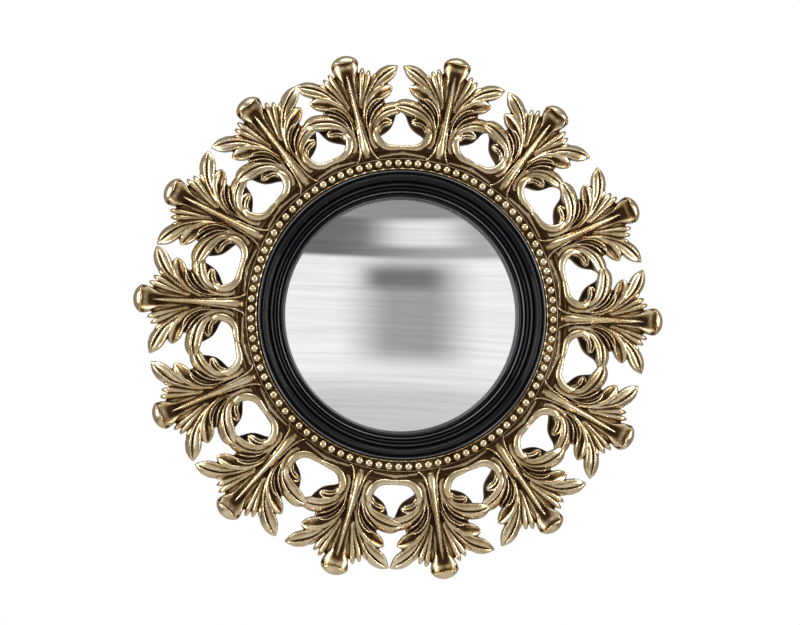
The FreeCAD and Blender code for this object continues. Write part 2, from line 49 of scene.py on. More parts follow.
# each leaf stands a little off the even division, clockwise from the first right of 12 o'clock
LEAF_TURNS = (-2, -2.5, -1, -0.5, 1, 1, 1.5, 0.5, 1.5, 1, 1.5, 0.5, 0, -2)
BUTTON_TURNS = (45, 135, 225, 315)

# ---------------------------------------------------------------- camera

CAMERA_AZIMUTH = -5.9
CAMERA_ELEVATION = -3.1
CAMERA_DISTANCE = 1.357
CAMERA_ROLL = 1.8
FOCAL_PIXELS = 1545
SENSOR_WIDTH = 36
FRAME_WIDTH, FRAME_HEIGHT = 800, 625
AXIS_PIXEL = (399.6, 316.0)  # where the camera's axis meets the picture


def make_camera():
    data = bpy.data.cameras.new("camera")
    data.sensor_width = SENSOR_WIDTH
    data.lens = FOCAL_PIXELS / FRAME_WIDTH * SENSOR_WIDTH
    data.shift_x = (FRAME_WIDTH / 2 - AXIS_PIXEL[0]) / FRAME_WIDTH
    data.shift_y = (AXIS_PIXEL[1] - FRAME_HEIGHT / 2) / FRAME_WIDTH
    data.clip_end = 100
    camera = bpy.data.objects.new("camera", data)
    azimuth, elevation = math.radians(CAMERA_AZIMUTH), math.radians(CAMERA_ELEVATION)
    level = math.cos(elevation)
    away = Vector((math.sin(azimuth) * level, -math.cos(azimuth) * level, math.sin(elevation)))
    turn = (-away).to_track_quat("-Z", "Y").to_matrix().to_4x4()
    roll = Matrix.Rotation(math.radians(CAMERA_ROLL), 4, "Z")
    camera.matrix_world = Matrix.Translation(away * CAMERA_DISTANCE) @ turn @ roll
    bpy.context.scene.collection.objects.link(camera)
    bpy.context.scene.camera = camera


make_camera()
bpy.context.scene.view_settings.view_transform = "Standard"

# ---------------------------------------------------------------- node helpers


def node(tree, kind, values=None, **props):
    """A shader node whose inputs are given as values or as other nodes' outputs."""
    made = tree.nodes.new("ShaderNode" + kind)
    for key, value in props.items():
        setattr(made, key, value)
    for key, value in (values or {}).items():
        if isinstance(value, bpy.types.NodeSocket):
            tree.links.new(value, made.inputs[key])
        else:
            made.inputs[key].default_value = value
    return made


def plug(tree, socket, value):
    """Link an output to the socket, or set the socket to a number or a colour."""
    if isinstance(value, bpy.types.NodeSocket):
        tree.links.new(value, socket)
    elif isinstance(value, tuple):
        socket.default_value = (*value, 1)
    else:
        socket.default_value = value


def sums(tree, operation, *terms, clamp=False):
    """The outcome of one sum of the Math node."""
    made = node(tree, "Math", dict(enumerate(terms)), operation=operation, use_clamp=clamp)
    return made.outputs[0]


def step(tree, value, low, high, to_low=0.0, to_high=1.0):
    """value from low to high becomes to_low to to_high, smoothly."""
    made = node(tree, "MapRange", {"Value": value, "From Min": low, "From Max": high,
                                   "To Min": to_low, "To Max": to_high}, interpolation_type="SMOOTHSTEP")
    return made.outputs[0]


def blend(tree, share, first, second):
    """Two colours mixed, with that share of the second."""
    made = node(tree, "Mix", data_type="RGBA")
    for index, value in ((0, share), (6, first), (7, second)):
        plug(tree, made.inputs[index], value)
    return made.outputs[2]


def noise(tree, place, scale, detail=4.0, roughness=0.55):
    made = node(tree, "TexNoise", {"Vector": place, "Scale": scale, "Detail": detail, "Roughness": roughness})
    return made.outputs[0]


def stretched(tree, place, across, deep, up):
    """The place with its three axes scaled apart, for marks that run one way."""
    return node(tree, "Mapping", {"Vector": place, "Scale": (across, deep, up)}).outputs[0]


def cells(tree, place, scale):
    return node(tree, "TexVoronoi", {"Vector": place, "Scale": scale}).outputs["Distance"]


def stored(tree, name):
    """The number that the mesh holds under that name."""
    return node(tree, "Attribute", attribute_name=name).outputs["Fac"]


def new_material(name):
    made = bpy.data.materials.new(name)
    made.use_nodes = True
    tree = made.node_tree
    shader = tree.nodes["Principled BSDF"]
    place = node(tree, "TexCoord").outputs["Object"]
    return made, tree, shader, place


def wire(tree, shader, **sockets):
    for name, value in sockets.items():
        plug(tree, shader.inputs[name.replace("_", " ")], value)


def bump(tree, height, strength, distance):
    made = node(tree, "Bump", {"Height": height, "Strength": strength, "Distance": distance})
    return made.outputs[0]


# ---------------------------------------------------------------- materials


def gilding():
    """Antiqued champagne gilding: pale on the ridges, warm on the slopes, brown in the hollows, and darker
    still where the stored value holds painted shade.
    """
    made, tree, shader, place = new_material("gilding")
    hollow = stored(tree, "hollow")
    cloud = noise(tree, place, 45)
    grain = noise(tree, place, 420, 6, 0.62)
    # the stored value is patina in the hollows plus painted shade in the deep recesses, under the hood and on
    # the rail
    patina_and_shade = sums(tree, "ADD", hollow, sums(tree, "MULTIPLY_ADD", cloud, 0.7, -0.3))
    patina_and_shade = sums(tree, "ADD", patina_and_shade, sums(tree, "MULTIPLY_ADD", grain, 0.4, -0.2))
    pale = blend(tree, step(tree, cloud, 0.35, 0.65), (0.70, 0.585, 0.395), (0.55, 0.42, 0.235))
    colour = blend(tree, step(tree, patina_and_shade, -0.25, 0.2), pale, (0.30, 0.185, 0.075))
    colour = blend(tree, step(tree, patina_and_shade, 0.1, 0.45), colour, (0.042, 0.020, 0.006))
    specks = step(tree, noise(tree, place, 900, 2), 0.62, 0.72)
    colour = blend(tree, sums(tree, "MULTIPLY", specks, 0.45), colour, (0.09, 0.05, 0.02))
    wire(tree, shader, Base_Color=colour, Specular_IOR_Level=0.2,
         Metallic=step(tree, patina_and_shade, 0.2, 0.8, 0.95, 0.5),
         Roughness=sums(tree, "ADD", step(tree, patina_and_shade, -0.1, 0.7, 0.27, 0.5),
                        sums(tree, "MULTIPLY_ADD", grain, 0.16, -0.08)),
         Normal=bump(tree, grain, 0.12, 0.0006))
    return made


def lacquer():
    """Glossy black lacquer over turned wood, with pale highlights painted along the sharpest arrises."""
    made, tree, shader, place = new_material("ebonised_wood")
    cloud = noise(tree, place, 30)
    dust = noise(tree, place, 600, 3)
    patchy = step(tree, noise(tree, place, 9, 2), 0.32, 0.62, 0.35, 1)
    # painted highlights: pale grey rings on the arrises, patchy along their length
    painted_highlight = sums(tree, "MULTIPLY", stored(tree, "painted_highlight"), patchy)
    colour = blend(tree, cloud, (0.0066, 0.0067, 0.0080), (0.0096, 0.0097, 0.0112))
    colour = blend(tree, painted_highlight, colour, (0.60, 0.61, 0.62))
    wire(tree, shader, Base_Color=colour, Roughness=step(tree, cloud, 0.2, 0.8, 0.09, 0.15),
         Specular_IOR_Level=0.1, Normal=bump(tree, dust, 0.05, 0.0002))
    return made


def mirror_glass():
    made, tree, shader, place = new_material("mirror_glass")
    cloud = noise(tree, place, 12, 2)
    colour = blend(tree, cloud, (0.93, 0.94, 0.94), (0.96, 0.965, 0.96))
    wire(tree, shader, Base_Color=colour, Metallic=1.0, Roughness=0.015)
    return made


def painted_wood():
    made, tree, shader, place = new_material("painted_wood")
    brush = noise(tree, stretched(tree, place, 40, 400, 40), 3)
    cloud = noise(tree, place, 25)
    colour = blend(tree, cloud, (0.018, 0.016, 0.015), (0.045, 0.041, 0.037))
    wire(tree, shader, Base_Color=colour, Roughness=step(tree, brush, 0.3, 0.7, 0.5, 0.75),
         Normal=bump(tree, brush, 0.3, 0.0003))
    return made


def packing_foam():
    made, tree, shader, place = new_material("packing_foam")
    pores = cells(tree, place, 900)
    colour = blend(tree, pores, (0.05, 0.05, 0.05), (0.16, 0.16, 0.16))
    wire(tree, shader, Base_Color=colour, Roughness=0.95, Normal=bump(tree, pores, 0.6, 0.0005))
    return made


def fibreboard():
    made, tree, shader, place = new_material("fibreboard")
    fibres = noise(tree, stretched(tree, place, 1, 1, 6), 260, 8, 0.7)
    cloud = noise(tree, place, 18)
    colour = blend(tree, fibres, (0.20, 0.115, 0.055), (0.36, 0.235, 0.13))
    colour = blend(tree, sums(tree, "MULTIPLY", cloud, 0.4), colour, (0.26, 0.16, 0.09))
    wire(tree, shader, Base_Color=colour, Roughness=step(tree, fibres, 0.2, 0.8, 0.45, 0.7),
         Normal=bump(tree, fibres, 0.25, 0.0003))
    return made


def brass():
    made, tree, shader, place = new_material("brass_fittings")
    tarnish = noise(tree, place, 160, 5)
    scratches = noise(tree, stretched(tree, place, 60, 1, 1500), 4)
    colour = blend(tree, step(tree, tarnish, 0.4, 0.7), (0.80, 0.60, 0.28), (0.50, 0.34, 0.14))
    wire(tree, shader, Base_Color=colour, Metallic=1.0,
         Roughness=step(tree, scratches, 0.3, 0.7, 0.22, 0.42), Normal=bump(tree, scratches, 0.1, 0.0002))
    return made


def zinced_steel():
    made, tree, shader, place = new_material("zinced_steel")
    spangle = cells(tree, place, 500)
    cloud = noise(tree, place, 120)
    colour = blend(tree, spangle, (0.55, 0.56, 0.57), (0.72, 0.73, 0.74))
    wire(tree, shader, Base_Color=colour, Metallic=1.0,
         Roughness=step(tree, cloud, 0.3, 0.7, 0.3, 0.48), Normal=bump(tree, cloud, 0.08, 0.0002))
    return made


SLOTS = {"gilding": gilding(), "ebonised_wood": lacquer(), "mirror_glass": mirror_glass(),
         "painted_wood": painted_wood(), "packing_foam": packing_foam(), "fibreboard": fibreboard(),
         "brass_fittings": brass(), "zinced_steel": zinced_steel()}


for entry in frame["record"]["subparts"]:
    shown = frame["nodes"][entry["node"]]
    for index in range(len(shown.material_slots)):
        shown.material_slots[index].material = SLOTS[entry["material_slot"]]

# ---------------------------------------------------------------- mesh helpers


def new_piece(name, mesh, slot, body, nodes=()):
    """A visible piece that stands for the nodes: its mesh is in millimetres and goes to metres here."""
    mesh.transform(Matrix.Scale(MM, 4))
    obj = bpy.data.objects.new(name, mesh)
    bpy.context.scene.collection.objects.link(obj)
    mesh.materials.append(SLOTS[slot])
    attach(obj, body)
    if nodes:
        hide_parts(*nodes)


def mesh_of(name, verts, faces, sharp=None):
    """A smoothly shaded mesh, with the edges sharp that turn by more than so many degrees."""
    mesh = bpy.data.meshes.new(name)
    mesh.from_pydata([tuple(v) for v in verts], [], faces)
    mesh.update()
    mesh.polygons.foreach_set("use_smooth", [True] * len(mesh.polygons))
    if sharp is not None:
        mesh.set_sharp_from_angle(angle=math.radians(sharp))
    return mesh


def read(mesh, name):
    """The vertices' places ("co") or normals ("normal"), a row for each."""
    values = np.empty(len(mesh.vertices) * 3)
    mesh.vertices.foreach_get(name, values)
    return values.reshape(-1, 3)


def store(mesh, name, values):
    """Keep a number for each vertex under that name, for the materials."""
    mesh.attributes.new(name, "FLOAT", "POINT").data.foreach_set("value", values.astype(np.float32))


def joined(parts):
    """Vertices and faces of several (vertices, faces) parts as one."""
    verts, faces, base = [], [], 0
    for some, around in parts:
        verts.append(np.asarray(some))
        faces += [tuple(i + base for i in face) for face in around]
        base += len(some)
    return np.vstack(verts), faces


def spline(rows, steps):
    """A smooth line through rows of numbers, with so many steps between two rows."""
    rows = np.asarray(rows, float)
    ext = np.vstack([2 * rows[0] - rows[1], rows, 2 * rows[-1] - rows[-2]])
    s = np.linspace(0, 1, steps, endpoint=False)[:, None]
    out = [0.5 * (2 * b + (c - a) * s + (2 * a - 5 * b + 4 * c - d) * s ** 2
                  + (3 * b - a - 3 * c + d) * s ** 3)
           for a, b, c, d in zip(ext, ext[1:], ext[2:], ext[3:])]
    return np.vstack([*out, rows[-1:]])


def tube_of(rings, looped=False):
    """A skin through rings of equally many points: it is capped, or its last ring runs into its first."""
    rings = np.asarray(rings)
    count, around, _ = rings.shape
    faces = []
    for a in range(count if looped else count - 1):
        after = (a + 1) % count
        for b in range(around):
            c = (b + 1) % around
            faces.append((a * around + b, a * around + c, after * around + c, after * around + b))
    if not looped:
        faces.append(tuple(range(around))[::-1])
        faces.append(tuple((count - 1) * around + k for k in range(around)))
    return rings.reshape(-1, 3), faces


def lathe(profile, sides, closed=True):
    """Turn (radius, depth) points about the mirror's axis."""
    profile = np.asarray(profile, float)
    turns = np.linspace(0, 2 * math.pi, sides, endpoint=False)
    radius, depth = profile.T
    count = len(profile)
    verts = np.stack([np.outer(np.sin(turns), radius), np.broadcast_to(-depth, (sides, count)),
                      np.outer(np.cos(turns), radius)], -1)
    faces = []
    for a in range(sides):
        b = (a + 1) % sides
        for k in range(count if closed else count - 1):
            after = (k + 1) % count
            faces.append((a * count + k, a * count + after, b * count + after, b * count + k))
    return verts.reshape(-1, 3), faces


def disc(rings, across, up, sides):
    """Rings of (radius, depth) round a line that runs from the wall to the room at that place."""
    around = np.linspace(0, 2 * math.pi, sides, endpoint=False)
    return np.array([np.stack([across + radius * np.sin(around), np.full(sides, -float(depth)),
                               up + radius * np.cos(around)], 1) for radius, depth in rings])


def clock(part, turn):
    """Turn a (vertices, faces) part built at 12 o'clock to its place round the mirror."""
    verts, faces = part
    across, deep, up = verts.T
    sine, cosine = math.sin(math.radians(turn)), math.cos(math.radians(turn))
    return np.stack([across * cosine + up * sine, deep, up * cosine - across * sine], 1), faces


def outward(mesh):
    """Make the faces look outward."""
    work = bmesh.new()
    work.from_mesh(mesh)
    bmesh.ops.recalc_face_normals(work, faces=work.faces)
    work.to_mesh(mesh)
    work.free()
    return mesh


WIPED_DEPTH = 0.1        # how deep the patina stays where a hollow was wiped


def hollows(mesh, reach, rounds, clean, painted_shade):
    """Store how deep each vertex lies under its smoothed surroundings, over the reach in mm.

    Where clean gives 1 the hollows were wiped and stay lighter; the last argument adds painted shade of its
    own.
    """
    count = len(mesh.vertices)
    place = read(mesh, "co")
    edges = np.empty(len(mesh.edges) * 2, int)
    mesh.edges.foreach_get("vertices", edges)
    one, other = edges.reshape(-1, 2).T
    valence = np.bincount(one, minlength=count) + np.bincount(other, minlength=count)
    valence = np.maximum(valence, 1)[:, None]
    smooth = place
    for _ in range(rounds):
        total = [np.bincount(one, smooth[other, k], count) + np.bincount(other, smooth[one, k], count)
                 for k in range(3)]
        smooth = np.stack(total, -1) / valence
    depth = ((smooth - place) * read(mesh, "normal")).sum(1) / reach
    share = clean(place)
    # the painted shade is added to the patina's depth
    depth = depth * (1 - share) + np.minimum(depth, WIPED_DEPTH) * share + painted_shade(place)
    store(mesh, "hollow", np.clip(depth, -1, 1.5))


# ---------------------------------------------------------------- acanthus leaf


LEAF_BACK = 4            # depth of the leaf's back by the rail
WEB_BELOW = 1.6          # how far the web lies behind the leaf's general surface
PETAL_STEPS = 9          # rings between two rows of a petal's table
PETAL_POINTS = 27        # points across a petal's front
VOXEL = 0.5              # the petals are joined on a grid of this size


def ground(radius):
    """Depth of the leaf's general surface: level by the rail, then falling to the tips."""
    return np.interp(radius, (120, 141, 150, 165, 185, 205, 217, 235),
                     (31.5, 31.5, 30.5, 28.0, 24.2, 20.4, 18.6, 17.6))


# sections of a petal: rise over its line, for t from -1 at one edge to 1 at the other
def ridge(t):
    """A rounded ridge."""
    return 1 - np.abs(t) ** 1.7


def roll(t):
    """A half round."""
    return np.sqrt(np.clip(1 - t * t, 0, 1))


def crease(t):
    """A crease along the middle: a slope that falls away above it, a broad face with a thin rim below."""
    return np.interp(t, (-1, -0.75, -0.28, -0.1, 0, 0.1, 0.3, 0.76, 0.87, 0.94, 1),
                     (-0.75, -0.05, 0.78, 0.6, 0.0, 0.45, 0.78, 0.72, 1.0, 0.6, -0.5))


def crease_left(t):
    return crease(-t)


def spoon(t):
    """A hollow blade with its edges turned up."""
    a = np.abs(t)
    return 0.95 * a ** 2.2 - 1.5 * np.clip((a - 0.82) / 0.18, 0, 1) ** 2


def flare(t):
    """A low swell between two raised rims."""
    a = np.abs(t)
    rims = 0.8 * np.exp(-((a - 0.86) / 0.1) ** 2)
    return 0.3 * (1 - a * a) + rims - 1.0 * np.clip((a - 0.92) / 0.08, 0, 1)


def cupped(t):
    """A broad blade, hollow off its middle, between a thick rim and a round shoulder."""
    return np.interp(t, (-1, -0.86, -0.6, -0.25, 0.05, 0.3, 0.6, 0.82, 0.93, 1),
                     (-0.7, 0.3, 0.95, 0.9, 0.25, 0.1, 0.5, 1.0, 0.7, -0.5))


def slot(t):
    """A thin raised rim round a deep slot."""
    return np.interp(np.abs(t), (0, 0.3, 0.5, 0.72, 0.86, 1), (-0.75, -0.6, 0.35, 1.0, 0.75, -0.6))


def slope(t):
    """A wall: high at one edge and low at the other."""
    return -(1 + t) / 2


def fluted(t):
    """Ridges side by side, rounded off at the edges."""
    return 0.55 + 0.45 * np.cos((t - 0.1) * math.pi * 2.9) - 0.9 * np.abs(t) ** 6


# Petals as (section, thickness, rows of (across, out, lift, left width, right width, relief)),
# where out is the distance from the mirror's axis along the leaf's stem.
STEM = (ridge, 6, (
    (0, 138, 0.2, 4.4, 4.4, 1.2), (0, 147, 1.0, 3.6, 3.6, 2.2), (0, 156, 1.6, 3.0, 3.0, 2.8),
    (0, 172, 2.0, 2.5, 2.5, 2.8), (0, 188, 1.8, 2.1, 2.1, 2.6), (0, 202, 1.2, 1.7, 1.7, 2.2),
    (0, 210, 0.4, 1.3, 1.3, 1.6), (0, 216, 0.6, 1.0, 1.0, 0.8)))
SHIELD = (flare, 6, (
    (0, 135.0, -1.6, 10.6, 10.6, 0.5), (0, 137, 0.1, 8.8, 8.8, 0.9), (0, 140, 0.7, 7.2, 7.2, 1.3),
    (0, 147, 1.0, 5.3, 5.3, 1.5), (0, 157, 1.1, 4.2, 4.2, 1.4), (0, 172, 1.0, 3.3, 3.3, 1.0)))
CROWN = (spoon, 3.5, (
    (0, 176, -1.4, 3, 3, 0.8), (0, 186, -1.8, 4.2, 4.2, 1.4), (0, 196, -2.2, 5.0, 5.0, 1.9),
    (0, 204, -2.2, 5.8, 5.8, 2.4), (0, 209.6, -1.0, 7.0, 7.0, 3.4), (0, 213.4, 0.8, 9.2, 9.2, 4.8),
    (0, 217, 2.4, 11.0, 11.0, 5.8), (0, 221, 3.2, 10.6, 10.6, 5.4), (0, 226, 3.0, 7.6, 7.6, 4.0)))
SIDE = (
    # fingers between the crown and the great lobe
    (ridge, 4, (
        (5, 184, -1.2, 1.4, 1.4, 1.0), (8.6, 196, -0.8, 1.9, 1.9, 1.6), (11.6, 206, -0.2, 2.3, 2.3, 1.9),
        (13.8, 213.5, -0.2, 2.3, 2.3, 1.8), (14.9, 217, -1.2, 1.4, 1.4, 1.0),
        (15.2, 218, -1.8, 0.4, 0.4, 0.4))),
    (ridge, 4, (
        (5.5, 182, -1.2, 1.4, 1.4, 1.0), (10.6, 194.5, -0.9, 1.9, 1.9, 1.5),
        (15.6, 204.4, -0.2, 2.5, 2.5, 1.9), (18.4, 210.4, -0.2, 2.3, 2.3, 1.8),
        (20, 213.8, -1.4, 1.3, 1.3, 0.9), (20.4, 214.8, -2.0, 0.4, 0.4, 0.4))),
    (ridge, 4, (
        (8, 184, -1.4, 1.2, 1.2, 1.0), (14.0, 194, -1.2, 1.6, 1.6, 1.4), (20.0, 203, -0.6, 2.1, 2.1, 1.7),
        (23.6, 208.4, -0.6, 1.9, 1.9, 1.5), (25.0, 210.8, -1.6, 0.5, 0.5, 0.5))),
    # great lobe: its crease runs from the stem to the tip
    (crease, 4, (
        (4.5, 172, -0.4, 1.5, 1.7, 1.0), (9.8, 185, 0.0, 2.5, 3.3, 1.9), (16.6, 195.4, 0.2, 3.4, 5.0, 2.8),
        (23.6, 203, 0.3, 4.8, 6.8, 3.5), (30.6, 207.6, 0.2, 6.2, 8.2, 3.8),
        (36.6, 210.4, -0.2, 5.8, 7.6, 3.4), (41.2, 212.2, -1.0, 3.9, 5.4, 2.4),
        (44.2, 213.2, -2.0, 1.8, 2.8, 1.3), (46.2, 213.8, -2.8, 0.4, 0.6, 0.4))),
    # second lobe
    (cupped, 4, (
        (4.6, 164, -0.6, 1.4, 1.7, 1.0), (8.0, 176, -0.4, 2.6, 3.0, 1.9),
        (13.4, 184.8, -0.1, 4.6, 4.8, 2.8), (20.4, 190.8, 0.0, 6.2, 6.6, 3.5),
        (26.6, 193.6, 0.0, 6.8, 7.2, 3.6), (31.6, 195.0, -0.8, 5.6, 6.0, 2.8),
        (35.4, 195.6, -2.2, 2.8, 3.2, 1.5), (37.2, 195.8, -3.0, 0.4, 0.4, 0.4))),
    # small curled lobe under it, hollowed to a slot
    (slot, 5, (
        (6.8, 160, -0.2, 1.4, 1.4, 0.8), (8.4, 169.6, 1.2, 2.4, 2.4, 2.2),
        (11.8, 176.8, 2.0, 3.8, 3.6, 3.4), (17, 181.8, 2.0, 4.6, 4.2, 3.8),
        (22.6, 184.4, 1.0, 4.0, 3.6, 3.0), (26.6, 185.2, -1.0, 1.2, 1.2, 0.8),
        (27.4, 185.3, -2.0, 0.4, 0.4, 0.4))),
    # fluted tongue at the inner end of the scroll
    (fluted, 8, (
        (11.6, 152, -0.4, 2.4, 2.4, 0.9), (13.2, 158.6, 0.0, 3.2, 3.2, 1.4),
        (17.0, 163.2, 0.2, 4.6, 3.4, 2.0), (21.6, 165.2, 0.0, 5.2, 3.9, 2.3),
        (25.8, 165.4, -0.8, 4.2, 3.6, 1.9), (28.6, 165.0, -2.0, 1.8, 1.8, 0.8),
        (29.4, 164.8, -2.8, 0.4, 0.4, 0.4))),
    # scroll band round the opening
    (roll, 12, (
        (36.6, 139.0, -2.0, 0.8, 0.8, 0.7), (32.4, 140.2, -0.7, 1.9, 1.9, 1.6),
        (27, 141.5, -0.3, 2.4, 2.4, 2.0), (20.8, 142.8, 0.0, 2.8, 2.8, 2.2),
        (15.8, 146.2, 0.5, 3.1, 3.1, 2.3), (12.8, 151.6, 0.9, 3.3, 3.3, 2.4),
        (12.3, 157.6, 1.0, 3.0, 3.0, 2.3), (15.2, 162.2, 0.3, 1.9, 1.9, 1.5),
        (20, 164.4, -0.6, 1.0, 1.0, 0.8))),
    # the broad shoulder beside it
    (roll, 10, (
        (13.5, 141.6, -2.6, 0.6, 0.6, 0.4), (11.0, 143.6, -1.2, 1.6, 1.6, 0.8),
        (8.2, 149, -0.2, 2.2, 2.2, 1.1), (7.8, 157, 0.0, 2.2, 2.2, 1.2), (9.2, 165, 0.2, 2.2, 2.2, 1.2),
        (13.5, 171, 0.2, 2.2, 2.2, 1.2), (19, 174.4, -0.4, 2, 2, 0.9))),
    # walls on the openings' outer side, dark from the painted shade that lies deep below the leaf's face
    (slope, 9, (
        (13.5, 154.5, -3.4, 2.0, 0.8, 2.0), (17, 158.0, -1.8, 2.5, 2.2, 5.5),
        (21.5, 160.8, -1.2, 3.0, 3.0, 7.5), (26, 163.6, -1.2, 3.0, 3.0, 8.0),
        (30.0, 167.6, -1.2, 3.0, 2.2, 8.0), (33.6, 172.2, -1.4, 3.0, 1.5, 7.5),
        (38.6, 175.2, -2.0, 3.0, 1.2, 6.5), (43.0, 175.8, -3.0, 2.2, 1.0, 4.5))),
)
# the lobes that reach over the opening: the left one is larger and lies on its neighbour's right one
OVER = (crease_left, 6, (
    (-8.4, 155, -0.2, 2.4, 2.2, 1.0), (-10.4, 163, 0.4, 3.6, 3.4, 1.6), (-15, 170.4, 1.0, 5.4, 5.0, 2.6),
    (-22.5, 175, 1.5, 7.2, 6.4, 3.4), (-30.5, 177.0, 1.7, 7.6, 7.2, 3.8), (-38, 177.4, 1.3, 6.6, 7.2, 3.5),
    (-43.4, 176.6, 0.2, 4.4, 5.0, 2.5), (-46.8, 175.8, -1.2, 1.8, 2.2, 1.1),
    (-47.8, 175.6, -2, 0.4, 0.4, 0.3)))
BENEATH = (crease, 6, (
    (8.4, 155, -0.2, 2.2, 2.4, 1.0), (10.4, 163, 0.2, 3.2, 3.6, 1.5), (15, 170.2, 0.2, 4.6, 5.2, 2.3),
    (22.5, 174.8, 0.0, 6.0, 6.4, 2.9), (30, 176.4, -0.6, 6.6, 6.2, 3.0),
    (36.6, 176.6, -1.6, 5.8, 5.4, 2.6), (41.4, 176.2, -2.8, 3.0, 2.8, 1.4),
    (43, 176.0, -3.6, 0.4, 0.4, 0.2)))
WEB = (
    (0, 135.6), (12, 136), (22, 135.6), (33, 134.2), (34, 139.6), (24, 142), (16.6, 144.6), (13.4, 149),
    (12.4, 156), (16, 161.5), (22, 164.5), (27, 169), (27, 178), (27, 186), (26, 192), (28, 197),
    (26, 202.5), (24, 206.5), (19, 209), (13, 213), (9, 216), (0, 218))


def petal(section, thick, rows, mirror=False):
    """A blade along its line, with the section's relief in front and a rounded back."""
    line = spline(rows, PETAL_STEPS)
    t = -np.cos(np.linspace(0, math.pi, PETAL_POINTS))
    if mirror:
        line[:, 0] *= -1
        line[:, [3, 4]] = line[:, [4, 3]]
    way = np.gradient(line[:, :2], axis=0)
    way /= np.linalg.norm(way, axis=1)[:, None]
    rise = section(-t if mirror else t)
    edge = 0 if section is slope else 0.75  # how much thinner the blade is at its edges
    rings = []
    for (across, out, lift, left, right, relief), (along, up) in zip(line, way):
        width = np.where(t < 0, max(left, 0.1), max(right, 0.1)) * t
        x, z = across + width * up, out - width * along
        front = ground(np.hypot(x, z)) + lift + relief * rise
        low = ground(math.hypot(across, out)) + lift - relief * 0.5
        back = np.minimum(front - 0.4, low - thick * (1 - edge * np.abs(t) ** 3))
        rings.append(np.vstack([np.stack([x, -front, z], 1), np.stack([x, -back, z], 1)[::-1]]))
    return tube_of(rings)


def hood():
    """The leaf's tip, rolled forward into a hood: a piece of an egg-shaped shell with a wavy lip."""
    centre, size = np.array((0, -21.6, 219.6)), np.array((12.9, 9.6, 10.6))
    tilt = math.radians(58)
    pole = np.array((0, math.cos(tilt), math.sin(tilt)))       # the hood's crown leans back
    side = np.array((1.0, 0, 0))
    front = np.array((0, -math.sin(tilt), math.cos(tilt)))
    around = np.linspace(0, 2 * math.pi, 72, endpoint=False)
    lip = np.radians(72 + 31 * np.abs(np.sin(around)) ** 1.4)  # how far the shell reaches from its crown
    lip += np.radians(3.0) * np.cos(4 * (around - math.pi / 2)) * np.clip(np.sin(around), 0, 1)
    rings = []
    for thin, shares in ((1.0, np.linspace(0.02, 1, 26)), (0.82, np.linspace(1, 0.02, 26))):
        for share in shares:
            turn = lip * share
            ray = (np.outer(np.cos(turn), pole) + np.outer(np.sin(turn) * np.cos(around), side)
                   + np.outer(np.sin(turn) * np.sin(around), front))
            rings.append(centre + ray * size * thin)
    return tube_of(rings)


def web():
    """The ground that joins the petals, behind their faces."""
    outline = np.array(list(WEB) + [(-across, out) for across, out in reversed(WEB[1:-1])], float)
    radius = np.hypot(outline[:, 0], outline[:, 1])
    front = ground(radius) - WEB_BELOW
    back = np.interp(radius, (120, 170, 200, 235), (LEAF_BACK, LEAF_BACK, 11, 14))
    return tube_of([np.stack([outline[:, 0], -depth, outline[:, 1]], 1) for depth in (front, back)])


def painted_recess_shade(place):
    """Painted shade that lies on the flanks, well below the leaf's face, and along the beads, up to 1."""
    across, depth, up = place[:, 0], -place[:, 1], place[:, 2]
    radius = np.hypot(across, up)
    flanks = np.interp(ground(radius) - depth, (2.5, 8), (0, 0.7))
    flanks = np.maximum(flanks, np.interp(radius, (137, 140.5, 142.5), (0.75, 0.45, 0)))
    flanks *= np.interp(depth, (11, 15), (0.35, 1))  # the painted shade is weaker on the back
    # painted shadow in the dish under the hood
    dish = np.interp(up, (198, 208, 217, 219), (0, 0.3, 0.42, 0))
    dish *= np.interp(np.abs(across), (3, 7.5), (1, 0)) * np.interp(depth, (26.5, 28.5), (1, 0))
    return np.maximum(flanks, dish)


def wiped(place):
    """The inside of the hood, from 0 to 1."""
    return np.interp(place[:, 2], (190, 208), (0, 1)) * np.interp(np.abs(place[:, 0]), (8, 12), (1, 0))


def make_leaf_mesh():
    """One pattern leaf: its petals are joined, and softened where they meet as in a casting."""
    parts = [petal(*STEM), petal(*SHIELD), petal(*CROWN), petal(*OVER), petal(*BENEATH), hood(), web()]
    for section, thick, rows in SIDE:
        parts.append(petal(section, thick, rows))
        parts.append(petal(section, thick, rows, mirror=True))
    raw = bpy.data.objects.new("leaf_raw", mesh_of("leaf_raw", *joined(parts)))
    bpy.context.scene.collection.objects.link(raw)
    weld = raw.modifiers.new("weld", "REMESH")
    weld.mode = "VOXEL"
    weld.voxel_size = VOXEL
    soften = raw.modifiers.new("soften", "SMOOTH")
    soften.factor = 0.5
    soften.iterations = 6
    fewer = raw.modifiers.new("fewer", "DECIMATE")
    fewer.ratio = 0.4
    mesh = bpy.data.meshes.new_from_object(raw.evaluated_get(bpy.context.evaluated_depsgraph_get()))
    bpy.data.objects.remove(raw)
    mesh.polygons.foreach_set("use_smooth", [True] * len(mesh.polygons))
    # patina in the hollows, painted shade in the deep recesses, along the beads and under the hood
    hollows(mesh, reach=0.6, rounds=14, clean=wiped, painted_shade=painted_recess_shade)
    return mesh


leaf_mesh = make_leaf_mesh()
for number, offset in enumerate(LEAF_TURNS, start=1):
    mesh = leaf_mesh.copy()
    mesh.transform(Matrix.Rotation(math.radians(LEAF_PITCH * (number - 0.5) + offset), 4, "Y"))
    new_piece(f"leaf_{number:02d}_casting", mesh, "gilding", "mirror", [f"leaf_{number:02d}"])
bpy.data.meshes.remove(leaf_mesh)

# ---------------------------------------------------------------- mouldings


def arc(start, end, rise, steps):
    """Points of a round reed from one (radius, depth) edge to another, rising between them."""
    (inner, low), (outer, high) = start, end
    turns = np.linspace(0, math.pi, steps)
    share = (1 - np.cos(turns)) / 2
    return [(inner + (outer - inner) * s, low + (high - low) * s + rise * math.sin(turn))
            for s, turn in zip(share, turns)]


